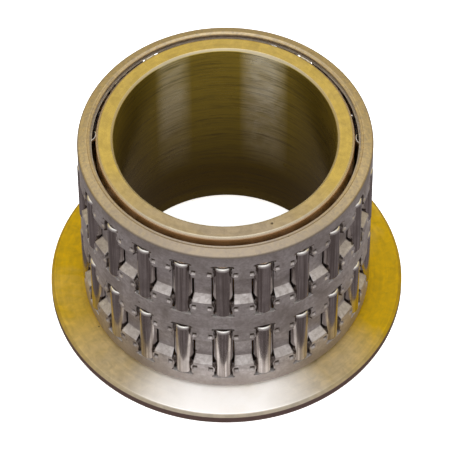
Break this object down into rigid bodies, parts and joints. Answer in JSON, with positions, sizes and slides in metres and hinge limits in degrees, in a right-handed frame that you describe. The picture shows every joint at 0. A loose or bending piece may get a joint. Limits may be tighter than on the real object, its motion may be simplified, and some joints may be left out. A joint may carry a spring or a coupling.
{
  "type": "needle roller bearing",
  "caption": "Flanged inner ring carrying a pressed-steel cage with two rows of needle rollers, open at one end.",
  "frame": {"origin": "on the bearing's axis, at the flange's outer face, on which the ring stands", "axes": "+Z along the bearing's axis, from the flange to the open end; -Y faces one roller of each row"},
  "size_m": [0.0734, 0.0734, 0.0485],
  "materials": {
    "ring_steel": "ground and turned",
    "cage_steel": "satin pressed sheet",
    "roller_steel": "polished"
  },
  "bodies": {
    "inner_ring": {"flanged_inner_ring": "ring_steel"},
    "cage": {"needle_cage": "cage_steel"},
    "roller_lower_01": {"roller_lower_01": "roller_steel"},
    "roller_lower_02": {"roller_lower_02": "roller_steel"},
    "roller_lower_03": {"roller_lower_03": "roller_steel"},
    "roller_lower_04": {"roller_lower_04": "roller_steel"},
    "roller_lower_05": {"roller_lower_05": "roller_steel"},
    "roller_lower_06": {"roller_lower_06": "roller_steel"},
    "roller_lower_07": {"roller_lower_07": "roller_steel"},
    "roller_lower_08": {"roller_lower_08": "roller_steel"},
    "roller_lower_09": {"roller_lower_09": "roller_steel"},
    "roller_lower_10": {"roller_lower_10": "roller_steel"},
    "roller_lower_11": {"roller_lower_11": "roller_steel"},
    "roller_lower_12": {"roller_lower_12": "roller_steel"},
    "roller_lower_13": {"roller_lower_13": "roller_steel"},
    "roller_lower_14": {"roller_lower_14": "roller_steel"},
    "roller_lower_15": {"roller_lower_15": "roller_steel"},
    "roller_lower_16": {"roller_lower_16": "roller_steel"},
    "roller_lower_17": {"roller_lower_17": "roller_steel"},
    "roller_lower_18": {"roller_lower_18": "roller_steel"},
    "roller_lower_19": {"roller_lower_19": "roller_steel"},
    "roller_lower_20": {"roller_lower_20": "roller_steel"},
    "roller_lower_21": {"roller_lower_21": "roller_steel"},
    "roller_lower_22": {"roller_lower_22": "roller_steel"},
    "roller_upper_01": {"roller_upper_01": "roller_steel"},
    "roller_upper_02": {"roller_upper_02": "roller_steel"},
    "roller_upper_03": {"roller_upper_03": "roller_steel"},
    "roller_upper_04": {"roller_upper_04": "roller_steel"},
    "roller_upper_05": {"roller_upper_05": "roller_steel"},
    "roller_upper_06": {"roller_upper_06": "roller_steel"},
    "roller_upper_07": {"roller_upper_07": "roller_steel"},
    "roller_upper_08": {"roller_upper_08": "roller_steel"},
    "roller_upper_09": {"roller_upper_09": "roller_steel"},
    "roller_upper_10": {"roller_upper_10": "roller_steel"},
    "roller_upper_11": {"roller_upper_11": "roller_steel"},
    "roller_upper_12": {"roller_upper_12": "roller_steel"},
    "roller_upper_13": {"roller_upper_13": "roller_steel"},
    "roller_upper_14": {"roller_upper_14": "roller_steel"},
    "roller_upper_15": {"roller_upper_15": "roller_steel"},
    "roller_upper_16": {"roller_upper_16": "roller_steel"},
    "roller_upper_17": {"roller_upper_17": "roller_steel"},
    "roller_upper_18": {"roller_upper_18": "roller_steel"},
    "roller_upper_19": {"roller_upper_19": "roller_steel"},
    "roller_upper_20": {"roller_upper_20": "roller_steel"},
    "roller_upper_21": {"roller_upper_21": "roller_steel"},
    "roller_upper_22": {"roller_upper_22": "roller_steel"}
  },
  "joints": [
    {"name": "cage_spin", "type": "hinge", "parent": "inner_ring", "child": "cage", "pos_m": [0, 0, 0.025], "axis": [0, 0, 1], "continuous": true},
    {"name": "roller_lower_01_spin", "type": "hinge", "parent": "cage", "child": "roller_lower_01", "pos_m": [0, -0.02805, 0.0147], "axis": [0, 0, 1], "continuous": true},
    {"name": "roller_lower_02_spin", "type": "hinge", "parent": "cage", "child": "roller_lower_02", "pos_m": [0.0079, -0.02691, 0.0147], "axis": [0, 0, 1], "continuous": true},
    {"name": "roller_lower_03_spin", "type": "hinge", "parent": "cage", "child": "roller_lower_03", "pos_m": [0.01516, -0.0236, 0.0147], "axis": [0, 0, 1], "continuous": true},
    {"name": "roller_lower_04_spin", "type": "hinge", "parent": "cage", "child": "roller_lower_04", "pos_m": [0.0212, -0.01837, 0.0147], "axis": [0, 0, 1], "continuous": true},
    {"name": "roller_lower_05_spin", "type": "hinge", "parent": "cage", "child": "roller_lower_05", "pos_m": [0.02552, -0.01165, 0.0147], "axis": [0, 0, 1], "continuous": true},
    {"name": "roller_lower_06_spin", "type": "hinge", "parent": "cage", "child": "roller_lower_06", "pos_m": [0.02776, -0.00399, 0.0147], "axis": [0, 0, 1], "continuous": true},
    {"name": "roller_lower_07_spin", "type": "hinge", "parent": "cage", "child": "roller_lower_07", "pos_m": [0.02776, 0.00399, 0.0147], "axis": [0, 0, 1], "continuous": true},
    {"name": "roller_lower_08_spin", "type": "hinge", "parent": "cage", "child": "roller_lower_08", "pos_m": [0.02552, 0.01165, 0.0147], "axis": [0, 0, 1], "continuous": true},
    {"name": "roller_lower_09_spin", "type": "hinge", "parent": "cage", "child": "roller_lower_09", "pos_m": [0.0212, 0.01837, 0.0147], "axis": [0, 0, 1], "continuous": true},
    {"name": "roller_lower_10_spin", "type": "hinge", "parent": "cage", "child": "roller_lower_10", "pos_m": [0.01516, 0.0236, 0.0147], "axis": [0, 0, 1], "continuous": true},
    {"name": "roller_lower_11_spin", "type": "hinge", "parent": "cage", "child": "roller_lower_11", "pos_m": [0.0079, 0.02691, 0.0147], "axis": [0, 0, 1], "continuous": true},
    {"name": "roller_lower_12_spin", "type": "hinge", "parent": "cage", "child": "roller_lower_12", "pos_m": [0, 0.02805, 0.0147], "axis": [0, 0, 1], "continuous": true},
    {"name": "roller_lower_13_spin", "type": "hinge", "parent": "cage", "child": "roller_lower_13", "pos_m": [-0.0079, 0.02691, 0.0147], "axis": [0, 0, 1], "continuous": true},
    {"name": "roller_lower_14_spin", "type": "hinge", "parent": "cage", "child": "roller_lower_14", "pos_m": [-0.01516, 0.0236, 0.0147], "axis": [0, 0, 1], "continuous": true},
    {"name": "roller_lower_15_spin", "type": "hinge", "parent": "cage", "child": "roller_lower_15", "pos_m": [-0.0212, 0.01837, 0.0147], "axis": [0, 0, 1], "continuous": true},
    {"name": "roller_lower_16_spin", "type": "hinge", "parent": "cage", "child": "roller_lower_16", "pos_m": [-0.02552, 0.01165, 0.0147], "axis": [0, 0, 1], "continuous": true},
    {"name": "roller_lower_17_spin", "type": "hinge", "parent": "cage", "child": "roller_lower_17", "pos_m": [-0.02776, 0.00399, 0.0147], "axis": [0, 0, 1], "continuous": true},
    {"name": "roller_lower_18_spin", "type": "hinge", "parent": "cage", "child": "roller_lower_18", "pos_m": [-0.02776, -0.00399, 0.0147], "axis": [0, 0, 1], "continuous": true},
    {"name": "roller_lower_19_spin", "type": "hinge", "parent": "cage", "child": "roller_lower_19", "pos_m": [-0.02552, -0.01165, 0.0147], "axis": [0, 0, 1], "continuous": true},
    {"name": "roller_lower_20_spin", "type": "hinge", "parent": "cage", "child": "roller_lower_20", "pos_m": [-0.0212, -0.01837, 0.0147], "axis": [0, 0, 1], "continuous": true},
    {"name": "roller_lower_21_spin", "type": "hinge", "parent": "cage", "child": "roller_lower_21", "pos_m": [-0.01516, -0.0236, 0.0147], "axis": [0, 0, 1], "continuous": true},
    {"name": "roller_lower_22_spin", "type": "hinge", "parent": "cage", "child": "roller_lower_22", "pos_m": [-0.0079, -0.02691, 0.0147], "axis": [0, 0, 1], "continuous": true},
    {"name": "roller_upper_01_spin", "type": "hinge", "parent": "cage", "child": "roller_upper_01", "pos_m": [0, -0.02805, 0.03553], "axis": [0, 0, 1], "continuous": true},
    {"name": "roller_upper_02_spin", "type": "hinge", "parent": "cage", "child": "roller_upper_02", "pos_m": [0.0079, -0.02691, 0.03553], "axis": [0, 0, 1], "continuous": true},
    {"name": "roller_upper_03_spin", "type": "hinge", "parent": "cage", "child": "roller_upper_03", "pos_m": [0.01516, -0.0236, 0.03553], "axis": [0, 0, 1], "continuous": true},
    {"name": "roller_upper_04_spin", "type": "hinge", "parent": "cage", "child": "roller_upper_04", "pos_m": [0.0212, -0.01837, 0.03553], "axis": [0, 0, 1], "continuous": true},
    {"name": "roller_upper_05_spin", "type": "hinge", "parent": "cage", "child": "roller_upper_05", "pos_m": [0.02552, -0.01165, 0.03553], "axis": [0, 0, 1], "continuous": true},
    {"name": "roller_upper_06_spin", "type": "hinge", "parent": "cage", "child": "roller_upper_06", "pos_m": [0.02776, -0.00399, 0.03553], "axis": [0, 0, 1], "continuous": true},
    {"name": "roller_upper_07_spin", "type": "hinge", "parent": "cage", "child": "roller_upper_07", "pos_m": [0.02776, 0.00399, 0.03553], "axis": [0, 0, 1], "continuous": true},
    {"name": "roller_upper_08_spin", "type": "hinge", "parent": "cage", "child": "roller_upper_08", "pos_m": [0.02552, 0.01165, 0.03553], "axis": [0, 0, 1], "continuous": true},
    {"name": "roller_upper_09_spin", "type": "hinge", "parent": "cage", "child": "roller_upper_09", "pos_m": [0.0212, 0.01837, 0.03553], "axis": [0, 0, 1], "continuous": true},
    {"name": "roller_upper_10_spin", "type": "hinge", "parent": "cage", "child": "roller_upper_10", "pos_m": [0.01516, 0.0236, 0.03553], "axis": [0, 0, 1], "continuous": true},
    {"name": "roller_upper_11_spin", "type": "hinge", "parent": "cage", "child": "roller_upper_11", "pos_m": [0.0079, 0.02691, 0.03553], "axis": [0, 0, 1], "continuous": true},
    {"name": "roller_upper_12_spin", "type": "hinge", "parent": "cage", "child": "roller_upper_12", "pos_m": [0, 0.02805, 0.03553], "axis": [0, 0, 1], "continuous": true},
    {"name": "roller_upper_13_spin", "type": "hinge", "parent": "cage", "child": "roller_upper_13", "pos_m": [-0.0079, 0.02691, 0.03553], "axis": [0, 0, 1], "continuous": true},
    {"name": "roller_upper_14_spin", "type": "hinge", "parent": "cage", "child": "roller_upper_14", "pos_m": [-0.01516, 0.0236, 0.03553], "axis": [0, 0, 1], "continuous": true},
    {"name": "roller_upper_15_spin", "type": "hinge", "parent": "cage", "child": "roller_upper_15", "pos_m": [-0.0212, 0.01837, 0.03553], "axis": [0, 0, 1], "continuous": true},
    {"name": "roller_upper_16_spin", "type": "hinge", "parent": "cage", "child": "roller_upper_16", "pos_m": [-0.02552, 0.01165, 0.03553], "axis": [0, 0, 1], "continuous": true},
    {"name": "roller_upper_17_spin", "type": "hinge", "parent": "cage", "child": "roller_upper_17", "pos_m": [-0.02776, 0.00399, 0.03553], "axis": [0, 0, 1], "continuous": true},
    {"name": "roller_upper_18_spin", "type": "hinge", "parent": "cage", "child": "roller_upper_18", "pos_m": [-0.02776, -0.00399, 0.03553], "axis": [0, 0, 1], "continuous": true},
    {"name": "roller_upper_19_spin", "type": "hinge", "parent": "cage", "child": "roller_upper_19", "pos_m": [-0.02552, -0.01165, 0.03553], "axis": [0, 0, 1], "continuous": true},
    {"name": "roller_upper_20_spin", "type": "hinge", "parent": "cage", "child": "roller_upper_20", "pos_m": [-0.0212, -0.01837, 0.03553], "axis": [0, 0, 1], "continuous": true},
    {"name": "roller_upper_21_spin", "type": "hinge", "parent": "cage", "child": "roller_upper_21", "pos_m": [-0.01516, -0.0236, 0.03553], "axis": [0, 0, 1], "continuous": true},
    {"name": "roller_upper_22_spin", "type": "hinge", "parent": "cage", "child": "roller_upper_22", "pos_m": [-0.0079, -0.02691, 0.03553], "axis": [0, 0, 1], "continuous": true}
  ],
  "couplings": [
    {"joint": "roller_lower_01_spin", "follows": "cage_spin", "ratio": 13},
    {"joint": "roller_lower_02_spin", "follows": "cage_spin", "ratio": 13},
    {"joint": "roller_lower_03_spin", "follows": "cage_spin", "ratio": 13},
    {"joint": "roller_lower_04_spin", "follows": "cage_spin", "ratio": 13},
    {"joint": "roller_lower_05_spin", "follows": "cage_spin", "ratio": 13},
    {"joint": "roller_lower_06_spin", "follows": "cage_spin", "ratio": 13},
    {"joint": "roller_lower_07_spin", "follows": "cage_spin", "ratio": 13},
    {"joint": "roller_lower_08_spin", "follows": "cage_spin", "ratio": 13},
    {"joint": "roller_lower_09_spin", "follows": "cage_spin", "ratio": 13},
    {"joint": "roller_lower_10_spin", "follows": "cage_spin", "ratio": 13},
    {"joint": "roller_lower_11_spin", "follows": "cage_spin", "ratio": 13},
    {"joint": "roller_lower_12_spin", "follows": "cage_spin", "ratio": 13},
    {"joint": "roller_lower_13_spin", "follows": "cage_spin", "ratio": 13},
    {"joint": "roller_lower_14_spin", "follows": "cage_spin", "ratio": 13},
    {"joint": "roller_lower_15_spin", "follows": "cage_spin", "ratio": 13},
    {"joint": "roller_lower_16_spin", "follows": "cage_spin", "ratio": 13},
    {"joint": "roller_lower_17_spin", "follows": "cage_spin", "ratio": 13},
    {"joint": "roller_lower_18_spin", "follows": "cage_spin", "ratio": 13},
    {"joint": "roller_lower_19_spin", "follows": "cage_spin", "ratio": 13},
    {"joint": "roller_lower_20_spin", "follows": "cage_spin", "ratio": 13},
    {"joint": "roller_lower_21_spin", "follows": "cage_spin", "ratio": 13},
    {"joint": "roller_lower_22_spin", "follows": "cage_spin", "ratio": 13},
    {"joint": "roller_upper_01_spin", "follows": "cage_spin", "ratio": 13},
    {"joint": "roller_upper_02_spin", "follows": "cage_spin", "ratio": 13},
    {"joint": "roller_upper_03_spin", "follows": "cage_spin", "ratio": 13},
    {"joint": "roller_upper_04_spin", "follows": "cage_spin", "ratio": 13},
    {"joint": "roller_upper_05_spin", "follows": "cage_spin", "ratio": 13},
    {"joint": "roller_upper_06_spin", "follows": "cage_spin", "ratio": 13},
    {"joint": "roller_upper_07_spin", "follows": "cage_spin", "ratio": 13},
    {"joint": "roller_upper_08_spin", "follows": "cage_spin", "ratio": 13},
    {"joint": "roller_upper_09_spin", "follows": "cage_spin", "ratio": 13},
    {"joint": "roller_upper_10_spin", "follows": "cage_spin", "ratio": 13},
    {"joint": "roller_upper_11_spin", "follows": "cage_spin", "ratio": 13},
    {"joint": "roller_upper_12_spin", "follows": "cage_spin", "ratio": 13},
    {"joint": "roller_upper_13_spin", "follows": "cage_spin", "ratio": 13},
    {"joint": "roller_upper_14_spin", "follows": "cage_spin", "ratio": 13},
    {"joint": "roller_upper_15_spin", "follows": "cage_spin", "ratio": 13},
    {"joint": "roller_upper_16_spin", "follows": "cage_spin", "ratio": 13},
    {"joint": "roller_upper_17_spin", "follows": "cage_spin", "ratio": 13},
    {"joint": "roller_upper_18_spin", "follows": "cage_spin", "ratio": 13},
    {"joint": "roller_upper_19_spin", "follows": "cage_spin", "ratio": 13},
    {"joint": "roller_upper_20_spin", "follows": "cage_spin", "ratio": 13},
    {"joint": "roller_upper_21_spin", "follows": "cage_spin", "ratio": 13},
    {"joint": "roller_upper_22_spin", "follows": "cage_spin", "ratio": 13}
  ]
}
